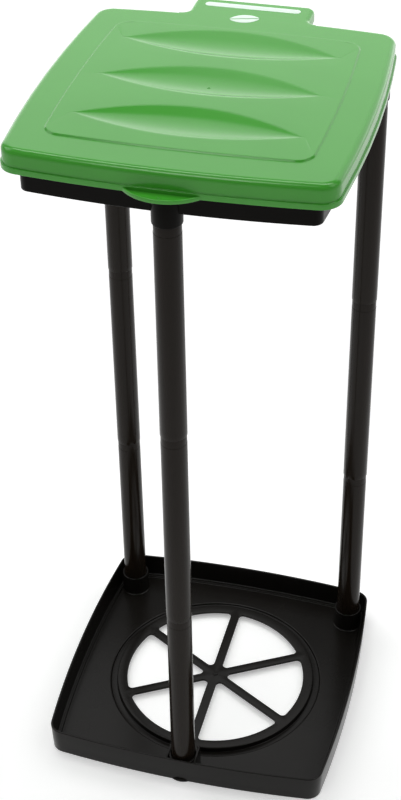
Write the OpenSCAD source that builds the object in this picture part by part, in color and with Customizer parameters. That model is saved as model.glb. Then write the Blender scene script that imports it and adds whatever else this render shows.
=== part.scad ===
// Free-standing bag station: a square base tray, three legs of three plug-together tubes each,
// a ring frame that holds the bag's mouth, and a hinged lid.
// Millimetres, +Z up, front towards -Y. Origin on the ground under the middle of the base.

/* [Base tray] */
// Half width of the base at its rim, left to right
base_half_x = 172; // [160:1:200]
// Half depth of the base at its rim, front to back
base_half_y = 169; // [158:1:200]
// How far each side of the base bows out at its middle
base_bow = 10.6; // [4:0.2:16]
// Corner radius of the base
base_corner_r = 18; // [12:1:30]
// Height of the base's rim
base_h = 35; // [28:1:50]
// Wall thickness of the tray
base_wall = 2.5; // [2:0.1:4]
// How far the outside leans in from rim to ground
base_draft = 1.5; // [0.5:0.1:3]
// Height of the tray floor's upper face
floor_top_z = 4.5; // [4:0.1:8]
// Thickness of the tray floor
floor_t = 2.3; // [1.8:0.1:3.5]

/* [Grille] */
// Outer radius of the raised wheel
wheel_r = 121.6; // [100:0.2:126]
// Width of the wheel's flat rim
wheel_rim_w = 12.6; // [8:0.2:20]
// Height of the wheel's top face
wheel_top_z = 8.8; // [7:0.1:14]
// Width of the moat between wheel and floor
moat_w = 7.8; // [5:0.1:10]
// Number of spokes
spokes = 6; // [5:1:8]
// Width of a spoke
spoke_w = 11; // [8:0.5:16]
// Radius of the openings' corners
opening_corner_r = 5; // [3:0.5:8]

/* [Leg tubes] */
// Radius of a tube at its lower end
tube_r = 14.1; // [12:0.1:16]
// Radius of a tube below its neck
tube_top_r = 13.7; // [11.8:0.1:16]
// Wall thickness of a tube
tube_wall = 2; // [1.6:0.1:2.4]
// How much smaller the neck at the top of a tube is
neck_step = 0.5; // [0.2:0.1:0.8]
// Height of that neck
neck_h = 10; // [5:1:20]
// Length of the spigot on top of each tube
spigot_l = 32; // [20:1:33]
// Height of the lower tubes' shoulders
lower_joint_z = 252; // [200:1:300]
// Height of the middle tubes' shoulders
middle_joint_z = 503; // [400:1:600]
// Height of the upper tubes' shoulders, under the frame
upper_joint_z = 748; // [700:1:800]
// Distance of the front leg's axis in front of the middle
front_leg_y = 151; // [140:0.5:152]
// Distance of each rear leg's axis from the middle plane
rear_leg_x = 141.6; // [130:0.2:142]
// Distance of the rear legs' axes behind the middle
rear_leg_y = 133.6; // [120:0.2:134]
// Radial gap between a spigot and the tube around it
plug_gap = 0.3; // [0.2:0.05:0.5]

/* [Base sockets] */
// Wall of the rear sockets
socket_wall = 2.4; // [2:0.1:4]
// Height of the rear sockets' rims
rear_socket_top_z = 31; // [24:1:34]
// Radius of the boss that carries the front socket
front_boss_r = 19.5; // [17.5:0.1:21]

/* [Top frame] */
// Half width of the ring frame
ring_half_x = 150; // [145:0.5:153]
// Half depth of the ring frame
ring_half_y = 158; // [154:0.5:160]
// Bow of the ring frame's sides
ring_bow = 9; // [5:0.2:10]
// Corner radius of the ring frame
ring_corner_r = 10; // [6:1:20]
// Height of the ring's band
ring_h = 36; // [25:1:38]
// Wall thickness of the band
ring_wall = 2.5; // [2:0.1:3.5]
// How far the bead along the band's top stands out
bead_w = 2; // [1:0.2:2.4]
// Height of that bead
bead_h = 3; // [2:0.5:5]
// Height of the band's lower edge above the upper tubes' shoulders
ring_lift = 13; // [8:0.5:16]
// Outer radius of the frame's leg sockets
frame_socket_r = 15; // [14.4:0.1:15.4]

/* [Lid] */
// Half width of the lid at its flange
lid_half_x = 166.5; // [166:0.1:172]
// Half depth of the lid at its flange
lid_half_y = 169; // [168.5:0.1:174]
// Bow of the lid's sides
lid_bow = 9.3; // [6:0.1:10]
// Corner radius of the lid
lid_corner_r = 21; // [14:1:30]
// Height of the lid from its flange to its flat top
lid_h = 23.9; // [22:0.1:34]
// Height of the flange along the lid's lower edge
flange_h = 6; // [4:0.5:9]
// How far the flange stands out from the skirt
flange_step = 1.6; // [0.8:0.1:2.4]
// Wall thickness of the lid
lid_wall = 2.2; // [1.8:0.1:3]
// Radius of the rounding between skirt and top
shoulder_r = 6.5; // [4:0.5:9]
// Gap between the lid's lower edge and the frame's sockets
lid_gap = 0.4; // [0.3:0.1:1]
// Half width of the raised panel
panel_half_x = 131; // [120:1:138]
// Half depth of the raised panel
panel_half_y = 130; // [120:1:134]
// Bow of the raised panel's sides
panel_bow = 4.5; // [2:0.5:8]
// Corner radius of the raised panel
panel_corner_r = 18; // [10:1:30]
// Height of the raised panel above the flat top
panel_rise = 1.6; // [0.8:0.1:2.5]
// Shift of the raised panel towards the back
panel_y = 2; // [0:0.5:4]

/* [Recesses] */
// Number of lens-shaped recesses
recesses = 3; // [1:1:3]
// Distance from one recess to the next
recess_pitch = 84; // [76:1:86]
// Tip line of the middle recess
recess_y = 4; // [0:0.5:6]
// Half length of a recess
recess_half_l = 109; // [90:1:112]
// Bulge of a recess's rear edge behind its tips
recess_rear = 36; // [24:1:38]
// Bulge of a recess's front edge ahead of its tips
recess_front = 23; // [16:1:25]
// Depth of a recess at its middle
recess_d = 5; // [2:0.5:5]

/* [Lift tab] */
// Half length of the lift tab where it leaves the flange
tab_half_l = 36.5; // [25:0.5:45]
// How far the lift tab stands out
tab_out = 15; // [8:0.5:20]
// Thickness of the lift tab
tab_t = 3; // [2:0.5:6]

/* [Hinge] */
// Half width of the hood over the hinge
hood_half_w = 64; // [60:1:80]
// How far the hood reaches behind the lid's flange
hood_out = 36; // [34:1:42]
// Height of the hood's outer wall
hood_h = 12; // [9:0.5:12.5]
// Radius of the hood's outer corners
hood_corner_r = 9; // [5:1:12]
// Radius of the fillets at the hood's root
hood_root_r = 6; // [3:1:8]
// Distance of the hinge axis behind the lid's flange
hinge_back = 21; // [20.5:0.5:22]
// Height of the hinge axis above the lid's lower edge
hinge_up = 7.4; // [6:0.2:9]
// Radius of the hinge pin
pin_r = 2.5; // [1.5:0.1:3]
// Radial gap between the pin and the lid's lugs
pin_gap = 0.08; // [0.03:0.01:0.1]
// Radius of the knuckles around the pin
knuckle_r = 6; // [5:0.1:6.4]
// Half width of the space between the frame's two arms
arm_inside_x = 34; // [25:1:38]
// Width of each arm
arm_w = 11.6; // [8:0.1:13]
// Width of each of the lid's lugs
lug_w = 8; // [6:0.5:9]
// Side gap between an arm and a lug
knuckle_gap = 0.4; // [0.2:0.1:0.8]
// How far down the stop heel of an arm reaches below the axis
heel_drop = 15; // [12:0.5:16]

/* [Hidden] */
$fn = 96;

moulded_black = "#232120";
moulded_green = "#4baf4b";
plated_steel = "#a9adb0";

// Overshoot of a cut past the face it leaves by
cut = 1;
// Facets of the long side arcs
arc_fn = 720;
// Steps in half a side's arc
side_steps = 6;
// Steps in a corner's arc
corner_steps = 8;

front_leg = [0, -front_leg_y];
rear_left_leg = [-rear_leg_x, rear_leg_y];
rear_right_leg = [rear_leg_x, rear_leg_y];
legs = [front_leg, rear_left_leg, rear_right_leg];

// Size of the slope between the tray's floor and its walls
base_cove = 3.5;
// Slope on the edges of the moat and the wheel
wheel_lip = 1.2;
moat_r = wheel_r + moat_w;
opening_r = wheel_r - wheel_rim_w;
socket_bore_r = tube_r + plug_gap;

tube_bore_r = tube_r - tube_wall;
spigot_r = tube_bore_r - plug_gap;
spigot_bore_r = spigot_r - tube_wall;
spigot_chamfer = 1;
// Room above a spigot inside the frame's sockets
spigot_room = 1.5;

ring_z = upper_joint_z + ring_lift;
frame_socket_cap = 2;
frame_socket_h = spigot_l + spigot_room + frame_socket_cap;
frame_socket_top_z = upper_joint_z + frame_socket_h;

// Height that keeps the lid clear of the sockets while it swings
lid_swing_room = 0.7;
lid_z = frame_socket_top_z + lid_gap + lid_swing_room;
lid_top_z = lid_z + lid_h;
panel_top_z = lid_top_z + panel_rise;
ceiling_z = lid_top_z - lid_wall;

hood_y = lid_half_y + hood_out;
hinge_y = lid_half_y + hinge_back;
hinge_z = lid_z + hinge_up;
lug_x = arm_inside_x + arm_w + knuckle_gap;
// How deep the ends of the lift tab sink into the flange
tab_root = flange_step / 2;

// How far the pin stands out past a lug
pin_end = 1;
pin_half_l = lug_x + lug_w + pin_end;
// How far in front of the axis the arm's flat face stands
arm_face = 1;
// Width of the step that lets the lid's wall turn past an arm
arm_step = 2;

// Radius of the arc over a chord of half length `half` that bows out by `bow`
function arc_r(half, bow) = (half * half + bow * bow) / (2 * bow);

// Centre of the corner arc of radius r between the side arcs of a bowed square
function corner_centre(half_x, half_y, bow, r) =
    let (
        side_r = arc_r(half_y, bow),
        end_r = arc_r(half_x, bow),
        side_c = [half_x - side_r, 0],
        end_c = [0, half_y - end_r],
        gap = norm(end_c - side_c),
        along = (pow(side_r - r, 2) - pow(end_r - r, 2) + gap * gap) / (2 * gap),
        across = sqrt(pow(side_r - r, 2) - along * along),
        u = (end_c - side_c) / gap
    )
    side_c + u * along + [-u.y, u.x] * across;

// Points along an arc, both ends included
function arc_points(centre, r, from, to, steps) =
    [for (i = [0 : steps]) let (a = from + (to - from) * i / steps) centre + r * [cos(a), sin(a)]];

// List without its last entry
function but_last(list) = [for (i = [0 : len(list) - 2]) list[i]];

// Outline of a square with bowed sides and round corners, `out` larger than its sizes
function bowed_outline(half_x, half_y, bow, r, out) =
    let (
        side_r = arc_r(half_y, bow),
        end_r = arc_r(half_x, bow),
        side_c = [half_x - side_r, 0],
        end_c = [0, half_y - end_r],
        c = corner_centre(half_x, half_y, bow, r),
        side_a = atan2(c.y - side_c.y, c.x - side_c.x),
        end_a = atan2(c.y - end_c.y, c.x - end_c.x),
        q = concat(
            but_last(arc_points(side_c, side_r + out, 0, side_a, side_steps)),
            but_last(arc_points(c, r + out, side_a, end_a, corner_steps)),
            arc_points(end_c, end_r + out, end_a, 90, side_steps)
        ),
        n = len(q)
    )
    concat(
        but_last(q),
        [for (i = [n - 1 : -1 : 1]) [-q[i].x, q[i].y]],
        [for (i = [0 : n - 2]) -q[i]],
        [for (i = [n - 1 : -1 : 1]) [q[i].x, -q[i].y]]
    );

// Solid of such an outline, `low` larger than its sizes at its foot and `high` at its top
module bowed_block(half_x, half_y, bow, r, z, h, low, high) {
    foot = bowed_outline(half_x, half_y, bow, r, low);
    top = bowed_outline(half_x, half_y, bow, r, high);
    n = len(foot);
    if (low == high)
        translate([0, 0, z])
            linear_extrude(h)
                polygon(foot);
    else
        polyhedron(
            points = concat([for (p = foot) [p.x, p.y, z]], [for (p = top) [p.x, p.y, z + h]]),
            faces = concat(
                [[for (i = [0 : n - 1]) i]],
                [for (i = [0 : n - 1]) [i, n + i, n + (i + 1) % n, (i + 1) % n]],
                [[for (i = [n - 1 : -1 : 0]) n + i]]
            )
        );
}

// Solid of the base's own outline between two heights, `low` and `high` inside the outer skin
module base_block(z0, z1, low, high) {
    lean = base_draft / base_h;
    bowed_block(base_half_x, base_half_y, base_bow, base_corner_r, z0, z1 - z0,
        lean * z0 - base_draft - low, lean * z1 - base_draft - high);
}

// One opening of the grille, a sector with round corners
module grille_opening() {
    r = opening_corner_r;
    half = 180 / spokes;
    off = spoke_w / 2 + r;
    far_r = opening_r - r;
    turn = half - asin(off / far_r);
    tip = [off / sin(half), 0];
    left = far_r * [cos(turn), sin(turn)];
    right = [left.x, -left.y];
    polygon(concat(
        arc_points(tip, r, 90 + half, 270 - half, corner_steps),
        arc_points(right, r, -90 - half, -turn, corner_steps),
        arc_points([0, 0], opening_r, -turn, turn, 2 * corner_steps),
        arc_points(left, r, turn, 90 + half, corner_steps)
    ));
}

// Moat wall, moat bottom and raised wheel rim as one ring
module wheel_section() {
    foot_r = wheel_r - base_wall;
    outer_r = moat_r + base_wall;
    rotate_extrude($fn = arc_fn)
        polygon([
            [foot_r, 0], [outer_r, 0], [outer_r, floor_top_z], [moat_r + wheel_lip, floor_top_z],
            [moat_r, floor_top_z - wheel_lip], [moat_r, floor_t], [wheel_r, floor_t],
            [wheel_r, wheel_top_z - wheel_lip], [wheel_r - wheel_lip, wheel_top_z],
            [opening_r - cut, wheel_top_z], [opening_r - cut, wheel_top_z - base_wall],
            [foot_r, wheel_top_z - base_wall]
        ]);
}

module base_tray() {
    color(moulded_black)
        difference() {
            union() {
                difference() {
                    base_block(0, base_h, 0, 0);
                    base_block(floor_top_z + base_cove, base_h + cut, base_wall, base_wall);
                    base_block(floor_top_z, floor_top_z + base_cove, base_wall + base_cove, base_wall);
                    base_block(-cut, floor_top_z - floor_t, base_wall, base_wall);
                    translate([0, 0, -cut])
                        cylinder(h = base_h, r = moat_r + base_wall / 2, $fn = arc_fn);
                }
                wheel_section();
                translate([0, 0, wheel_top_z - base_wall])
                    cylinder(h = base_wall, r = opening_r, $fn = arc_fn);
                for (leg = [rear_left_leg, rear_right_leg])
                    translate([leg.x, leg.y, 0])
                        cylinder(h = rear_socket_top_z, r = socket_bore_r + socket_wall);
                translate([0, -front_leg_y, 0])
                    cylinder(h = base_h, r = front_boss_r);
            }
            for (i = [0 : spokes - 1])
                rotate([0, 0, 90 + (i + 0.5) * 360 / spokes])
                    linear_extrude(wheel_top_z + cut)
                        grille_opening();
            for (leg = legs)
                translate([leg.x, leg.y, floor_top_z])
                    cylinder(h = base_h, r = socket_bore_r);
        }
}

// Tube with a plain bore at its foot, a slim neck and a spigot on top
module tube_section(leg, foot_z, shoulder_z) {
    neck_r = tube_top_r - neck_step;
    color(moulded_black)
        translate([leg.x, leg.y, foot_z])
            rotate_extrude()
                polygon([
                    [tube_bore_r, 0],
                    [tube_r, 0],
                    [tube_top_r, shoulder_z - foot_z - neck_h],
                    [neck_r, shoulder_z - foot_z - neck_h + neck_step],
                    [neck_r, shoulder_z - foot_z],
                    [spigot_r, shoulder_z - foot_z],
                    [spigot_r, shoulder_z - foot_z + spigot_l - spigot_chamfer],
                    [spigot_r - spigot_chamfer, shoulder_z - foot_z + spigot_l],
                    [spigot_bore_r, shoulder_z - foot_z + spigot_l],
                    [spigot_bore_r, shoulder_z - foot_z - neck_h],
                    [tube_bore_r, spigot_l + neck_h]
                ]);
}

module lower_tube(leg) {
    tube_section(leg, floor_top_z, lower_joint_z);
}

module middle_tube(leg) {
    tube_section(leg, lower_joint_z, middle_joint_z);
}

module upper_tube(leg) {
    tube_section(leg, middle_joint_z, upper_joint_z);
}

// Plate of one hinge arm, drawn in the plane of the hinge and `arm_w` thick along X
module hinge_arm() {
    root_y = ring_half_y - ring_wall;
    face_y = hinge_y - arm_face;
    heel_z = hinge_z - heel_drop;
    top_z = lid_z - 2 * lid_gap;
    translate([arm_inside_x, 0, 0])
        rotate([90, 0, 90])
            linear_extrude(arm_w) {
                translate([hinge_y, hinge_z])
                    circle(knuckle_r);
                polygon([
                    [root_y, ring_z + ring_wall],
                    [face_y - heel_drop / 2, heel_z],
                    [face_y, heel_z],
                    [face_y, hinge_z],
                    [hinge_y - knuckle_r, hinge_z],
                    [hinge_y - knuckle_r, top_z + 2 * lid_gap],
                    [hinge_y - knuckle_r - arm_step, top_z],
                    [root_y, top_z]
                ]);
            }
}

module top_frame() {
    color(moulded_black)
        difference() {
            union() {
                difference() {
                    union() {
                        bowed_block(ring_half_x, ring_half_y, ring_bow, ring_corner_r, ring_z, ring_h, 0, 0);
                        bowed_block(ring_half_x, ring_half_y, ring_bow, ring_corner_r,
                            ring_z + ring_h - bead_h, bead_h, bead_w, bead_w);
                    }
                    bowed_block(ring_half_x, ring_half_y, ring_bow, ring_corner_r,
                        ring_z - cut, ring_h + 2 * cut, -ring_wall, -ring_wall);
                }
                for (leg = legs)
                    translate([leg.x, leg.y, upper_joint_z])
                        cylinder(h = frame_socket_h, r = frame_socket_r);
                for (side = [0, 1])
                    mirror([side, 0, 0])
                        hinge_arm();
            }
            for (leg = legs)
                translate([leg.x, leg.y, upper_joint_z - cut])
                    cylinder(h = frame_socket_h - frame_socket_cap + cut, r = tube_bore_r);
            translate([-pin_half_l, hinge_y, hinge_z])
                rotate([0, 90, 0])
                    cylinder(h = 2 * pin_half_l, r = pin_r);
        }
}

module hinge_pin() {
    color(plated_steel)
        translate([-pin_half_l, hinge_y, hinge_z])
            rotate([0, 90, 0])
                cylinder(h = 2 * pin_half_l, r = pin_r);
}

// Solid of the lid's own outline between two heights, `low` and `high` inside the flange
module lid_block(z0, z1, low, high) {
    bowed_block(lid_half_x, lid_half_y, lid_bow, lid_corner_r, z0, z1 - z0, -low, -high);
}

// Plan of the hood over the hinge, `wall` smaller all round and starting at root_y
module hood_plan(wall, root_y) {
    half_w = hood_half_w - wall;
    r = hood_corner_r - wall;
    corner = [hood_half_w - hood_corner_r, hood_y - hood_corner_r];
    polygon(concat(
        [[-half_w, root_y], [half_w, root_y]],
        arc_points(corner, r, 0, 90, corner_steps),
        arc_points([-corner.x, corner.y], r, 90, 180, corner_steps)
    ));
}

// Plan of the concave fillets where the hood leaves the lid
module hood_root(y) {
    r = hood_root_r;
    x = hood_half_w + r;
    for (side = [0, 1])
        mirror([side, 0])
            polygon(concat(
                [[hood_half_w - r, y - r / 2], [x, y - r / 2]],
                arc_points([x, y + r], r, 270, 180, corner_steps),
                [[hood_half_w - r, y + r]]
            ));
}

// Valley between two cones whose rims are a recess's rear and front edges, `wall` larger all round
module recess_valley(wall) {
    rear_r = arc_r(recess_half_l, recess_rear);
    front_r = arc_r(recess_half_l, recess_front);
    slope = (recess_rear + recess_front) / (2 * recess_d);
    drop = recess_d + wall;
    lift = wall > 0 ? -panel_rise : cut;
    intersection() {
        translate([0, recess_rear - rear_r, -drop])
            cylinder(h = drop + lift, r1 = rear_r - slope * recess_d,
                r2 = rear_r + slope * (lift + wall), $fn = arc_fn);
        translate([0, front_r - recess_front, -drop])
            cylinder(h = drop + lift, r1 = front_r - slope * recess_d,
                r2 = front_r + slope * (lift + wall), $fn = arc_fn);
    }
}

// Lug that hangs from the hood and turns on the pin
module hinge_lug() {
    translate([lug_x, 0, 0])
        rotate([90, 0, 90])
            linear_extrude(lug_w) {
                translate([hinge_y, hinge_z])
                    circle(knuckle_r);
                translate([hinge_y - knuckle_r, hinge_z])
                    square([2 * knuckle_r, ceiling_z - hinge_z + lid_wall / 2]);
            }
}

module lift_tab() {
    r = arc_r(tab_half_l, tab_out + tab_root);
    translate([0, r - lid_half_y - tab_out, lid_z])
        intersection() {
            cylinder(h = tab_t, r = r);
            translate([-tab_half_l, -r, 0])
                cube([2 * tab_half_l, tab_out + 2 * flange_step, tab_t]);
        }
}

module lid() {
    flange_top_z = lid_z + flange_h;
    shoulder_z = lid_top_z - shoulder_r;
    knee_in = shoulder_r * (1 - cos(45));
    knee = shoulder_r * sin(45);
    step = flange_step;
    skirt_y = lid_half_y - step - lid_bow * pow(hood_half_w / lid_half_x, 2);
    color(moulded_green)
        difference() {
            union() {
                difference() {
                    union() {
                        lid_block(lid_z, flange_top_z, 0, 0);
                        lid_block(flange_top_z, shoulder_z, step, step);
                        lid_block(shoulder_z, shoulder_z + knee, step, step + knee_in);
                        lid_block(shoulder_z + knee, lid_top_z, step + knee_in, step + shoulder_r);
                        translate([0, panel_y, 0])
                            bowed_block(panel_half_x, panel_half_y, panel_bow, panel_corner_r,
                                lid_top_z - cut, panel_rise + cut, cut, -panel_rise);
                        lift_tab();
                        translate([0, 0, lid_top_z - hood_h])
                            linear_extrude(hood_h) {
                                hood_plan(0, skirt_y - hood_root_r);
                                hood_root(skirt_y);
                            }
                    }
                    lid_block(lid_z - cut, shoulder_z, step + lid_wall, step + lid_wall);
                    lid_block(shoulder_z, ceiling_z, step + lid_wall, step + shoulder_r);
                    translate([0, 0, lid_top_z - hood_h - cut])
                        linear_extrude(hood_h + cut - lid_wall)
                            hood_plan(lid_wall, lid_half_y - step);
                }
                for (i = [0 : recesses - 1])
                    translate([0, recess_y + (i - (recesses - 1) / 2) * recess_pitch, panel_top_z])
                        recess_valley(lid_wall);
                for (side = [0, 1])
                    mirror([side, 0, 0])
                        hinge_lug();
            }
            for (i = [0 : recesses - 1])
                translate([0, recess_y + (i - (recesses - 1) / 2) * recess_pitch, panel_top_z])
                    recess_valley(0);
            translate([-pin_half_l, hinge_y, hinge_z])
                rotate([0, 90, 0])
                    cylinder(h = 2 * pin_half_l, r = pin_r + pin_gap);
        }
}

base_tray();
lower_tube(front_leg);  // lower_tube_front
lower_tube(rear_left_leg);  // lower_tube_rear_left
lower_tube(rear_right_leg);  // lower_tube_rear_right
middle_tube(front_leg);  // middle_tube_front
middle_tube(rear_left_leg);  // middle_tube_rear_left
middle_tube(rear_right_leg);  // middle_tube_rear_right
upper_tube(front_leg);  // upper_tube_front
upper_tube(rear_left_leg);  // upper_tube_rear_left
upper_tube(rear_right_leg);  // upper_tube_rear_right
top_frame();
hinge_pin();
lid();
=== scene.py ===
"""Looks of a free-standing bag station: tray base, tubular legs, ring frame and hinged lid.

Lengths in the dataclasses are millimetres, and MM turns them into the frame's metres. Every
piece is a surface worked out on a grid: an outline or circle carried along a profile.
"""

import logging
import math
from collections.abc import Callable
from dataclasses import dataclass, field
from enum import Enum

import bpy
import numpy as np
from mathutils import Matrix, Vector


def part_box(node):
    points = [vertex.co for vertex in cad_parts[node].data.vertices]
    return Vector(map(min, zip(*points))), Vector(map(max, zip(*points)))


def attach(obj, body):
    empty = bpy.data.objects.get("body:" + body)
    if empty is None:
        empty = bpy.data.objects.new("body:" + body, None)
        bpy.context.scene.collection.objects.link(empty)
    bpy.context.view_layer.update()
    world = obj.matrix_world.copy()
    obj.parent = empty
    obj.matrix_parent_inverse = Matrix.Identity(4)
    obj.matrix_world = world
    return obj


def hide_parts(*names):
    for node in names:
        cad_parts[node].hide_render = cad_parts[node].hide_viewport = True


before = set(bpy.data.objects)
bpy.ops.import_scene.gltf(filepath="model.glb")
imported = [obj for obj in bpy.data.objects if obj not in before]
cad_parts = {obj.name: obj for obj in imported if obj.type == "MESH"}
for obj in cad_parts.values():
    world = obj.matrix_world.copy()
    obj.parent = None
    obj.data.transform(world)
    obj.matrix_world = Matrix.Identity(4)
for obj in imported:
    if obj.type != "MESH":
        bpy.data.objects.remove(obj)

MM = 0.001
log = logging.getLogger("bag_station")


class Leg(Enum):
    """The three legs, by the end of their nodes' names."""

    FRONT = "front"
    REAR_LEFT = "rear_left"
    REAR_RIGHT = "rear_right"


# ---------------------------------------------------------------- outlines and profiles


def arc(centre: tuple[float, float], r: float, start: float, end: float, steps: int) -> np.ndarray:
    """Points on an arc: centre + r (cos a, sin a), with a evenly spaced, both ends included.

    Args:
        centre: Middle of the arc's circle.
        r: Radius.
        start: First angle in degrees.
        end: Last angle in degrees.
        steps: Number of equal steps.

    Returns:
        Array of steps + 1 points.
    """
    a = np.radians(np.linspace(start, end, steps + 1))
    return np.column_stack([centre[0] + r * np.cos(a), centre[1] + r * np.sin(a)])


def filleted(points: list[tuple[float, float, float]], closed: bool, steps: int = 5) -> np.ndarray:
    """A polyline with its corners rounded: each corner becomes the arc tangent to both its sides.

    Args:
        points: Corners as (x, y, radius); a radius of 0 keeps the corner sharp.
        closed: Whether the last point joins the first.
        steps: Steps in each arc.

    Returns:
        Array of points along the rounded line.
    """
    corners = np.array(points, float)
    count, out = len(corners), []
    for i, (x, y, r) in enumerate(corners):
        here = np.array([x, y])
        if r <= 0 or (not closed and i in (0, count - 1)):
            out.append(here[None])
            continue
        before = corners[i - 1, :2] - here
        after = corners[(i + 1) % count, :2] - here
        before /= np.linalg.norm(before)
        after /= np.linalg.norm(after)
        half = math.acos(float(np.clip(before @ after, -1, 1))) / 2
        middle = here + (before + after) / np.linalg.norm(before + after) * r / math.sin(half)
        first = here + before * r / math.tan(half) - middle
        last = here + after * r / math.tan(half) - middle
        a = math.atan2(first[1], first[0])
        turn = (math.atan2(last[1], last[0]) - a + math.pi) % (2 * math.pi) - math.pi
        out.append(arc(tuple(middle), r, math.degrees(a), math.degrees(a + turn), steps))
    return np.vstack(out)


@dataclass(frozen=True)
class BowedSquare:
    """A square whose sides bow outwards and whose corners are round.

    Each side is an arc that rises by `bow` over its half length, and each corner an arc of
    `corner_r` that touches both its sides.
    """

    half_x: float
    half_y: float
    bow: float
    corner_r: float

    def arcs(self) -> tuple[np.ndarray, float, np.ndarray, float, np.ndarray]:
        """Centres and radii of the side arc, the end arc and the corner arc of one quarter."""
        side_r = (self.half_y**2 + self.bow**2) / (2 * self.bow)
        end_r = (self.half_x**2 + self.bow**2) / (2 * self.bow)
        side_c = np.array([self.half_x - side_r, 0.0])
        end_c = np.array([0.0, self.half_y - end_r])
        gap = np.linalg.norm(end_c - side_c)
        reach = side_r - self.corner_r
        along = (reach**2 - (end_r - self.corner_r) ** 2 + gap**2) / (2 * gap)
        u = (end_c - side_c) / gap
        corner = side_c + u * along + np.array([-u[1], u[0]]) * math.sqrt(reach**2 - along**2)
        return side_c, side_r, end_c, end_r, corner

    def loop(self, inset: float = 0.0, side: int = 50, corner: int = 20) -> np.ndarray:
        """The outline moved inwards by inset, anticlockwise from (half_x, 0).

        Args:
            inset: How far inside the outline, all round.
            side: Steps in half a side.
            corner: Steps in a corner, an even number.

        Returns:
            Array of 4 (2 side + corner) points, the same corners at every inset.
        """
        side_c, side_r, end_c, end_r, corner_c = self.arcs()
        a = math.degrees(math.atan2(*(corner_c - side_c)[::-1]))
        b = math.degrees(math.atan2(*(corner_c - end_c)[::-1]))
        quarter = np.vstack([
            arc(tuple(side_c), side_r - inset, 0, a, side)[:-1],
            arc(tuple(corner_c), self.corner_r - inset, a, b, corner)[:-1],
            arc(tuple(end_c), end_r - inset, b, 90, side),
        ])
        back = quarter[:0:-1]
        return np.vstack([quarter[:-1], back * [-1, 1], -quarter[:-1], back * [1, -1]])


# ---------------------------------------------------------------- meshes


@dataclass
class Surface:
    """Grids of points that together make one closed mesh."""

    points: list[np.ndarray] = field(default_factory=list)
    quads: list[np.ndarray] = field(default_factory=list)
    count: int = 0

    def grid(self, rows: np.ndarray, around: bool = False, along: bool = False) -> "Surface":
        """Adds quads between neighbouring points of a grid.

        Args:
            rows: Array (rows, columns, 3) in millimetres.
            around: Whether the last column joins the first.
            along: Whether the last row joins the first.

        Returns:
            This surface.
        """
        n, m = rows.shape[:2]
        index = np.arange(n * m).reshape(n, m)
        if around:
            index = np.hstack([index, index[:, :1]])
        if along:
            index = np.vstack([index, index[:1]])
        a, b = index[:-1, :-1], index[:-1, 1:]
        c, d = index[1:, 1:], index[1:, :-1]
        self.quads.append(np.stack([a, b, c, d], -1).reshape(-1, 4) + self.count)
        self.points.append(rows.reshape(-1, 3))
        self.count += n * m
        return self

    def band(self, first: np.ndarray, last: np.ndarray, steps: int = 1, around: bool = True) -> "Surface":
        """Adds straight quads between two lines of as many points.

        Args:
            first: Points of one line.
            last: Points of the other.
            steps: Rows of quads.
            around: Whether the lines are closed.

        Returns:
            This surface.
        """
        t = np.linspace(0, 1, steps + 1)[:, None, None]
        return self.grid(first[None] * (1 - t) + last[None] * t, around)

    def build(self, name: str, sharp: float = 40.0) -> bpy.types.Object:
        """Makes the mesh: joined points merged, faces of no area dropped, outward and smooth.

        Args:
            name: The new object's name.
            sharp: Edges that turn by more degrees than this stay sharp.

        Returns:
            The object, linked into the scene.
        """
        points = np.vstack(self.points) * MM
        _, first, same = np.unique(np.round(points * 1e6).astype(np.int64), axis=0,
                                   return_index=True, return_inverse=True)
        points, quads = points[first], same.reshape(-1)[np.vstack(self.quads)]
        keep = quads != np.roll(quads, -1, axis=1)
        good = (keep.sum(1) > 2) & (quads[:, 0] != quads[:, 2]) & (quads[:, 1] != quads[:, 3])
        quads, keep = quads[good], keep[good]
        corners, totals = quads[keep], keep.sum(1)
        mesh = bpy.data.meshes.new(name)
        mesh.vertices.add(len(points))
        mesh.vertices.foreach_set("co", points.ravel())
        mesh.loops.add(len(corners))
        mesh.loops.foreach_set("vertex_index", corners.astype(np.int32))
        mesh.polygons.add(len(totals))
        mesh.polygons.foreach_set("loop_start", np.concatenate([[0], np.cumsum(totals)[:-1]]).astype(np.int32))
        mesh.polygons.foreach_set("loop_total", totals.astype(np.int32))
        mesh.update(calc_edges=True)
        mesh.validate()
        obj = bpy.data.objects.new(name, mesh)
        bpy.context.scene.collection.objects.link(obj)
        bpy.context.view_layer.objects.active = obj
        bpy.ops.object.mode_set(mode="EDIT")
        bpy.ops.mesh.select_all(action="SELECT")
        bpy.ops.mesh.normals_make_consistent(inside=False)
        bpy.ops.object.mode_set(mode="OBJECT")
        mesh.polygons.foreach_set("use_smooth", np.ones(len(mesh.polygons), bool))
        mesh.set_sharp_from_angle(angle=math.radians(sharp))
        log.info("%s: %d points, %d faces", name, len(mesh.vertices), len(mesh.polygons))
        return obj


def lathe(profile: np.ndarray, centre: tuple[float, float], steps: int = 72, closed: bool = True) -> np.ndarray:
    """A profile of (radius, z) turned about an upright axis.

    Args:
        profile: Points of the profile.
        centre: Where the axis stands.
        steps: Steps around.
        closed: Whether the profile's last point joins its first.

    Returns:
        Grid of points, one row for each profile point.
    """
    line = np.vstack([profile, profile[:1]]) if closed else profile
    a = np.radians(np.arange(steps) * 360 / steps)
    x = centre[0] + line[:, :1] * np.cos(a)
    y = centre[1] + line[:, :1] * np.sin(a)
    return np.stack([x, y, np.broadcast_to(line[:, 1:], x.shape)], -1)


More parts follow.
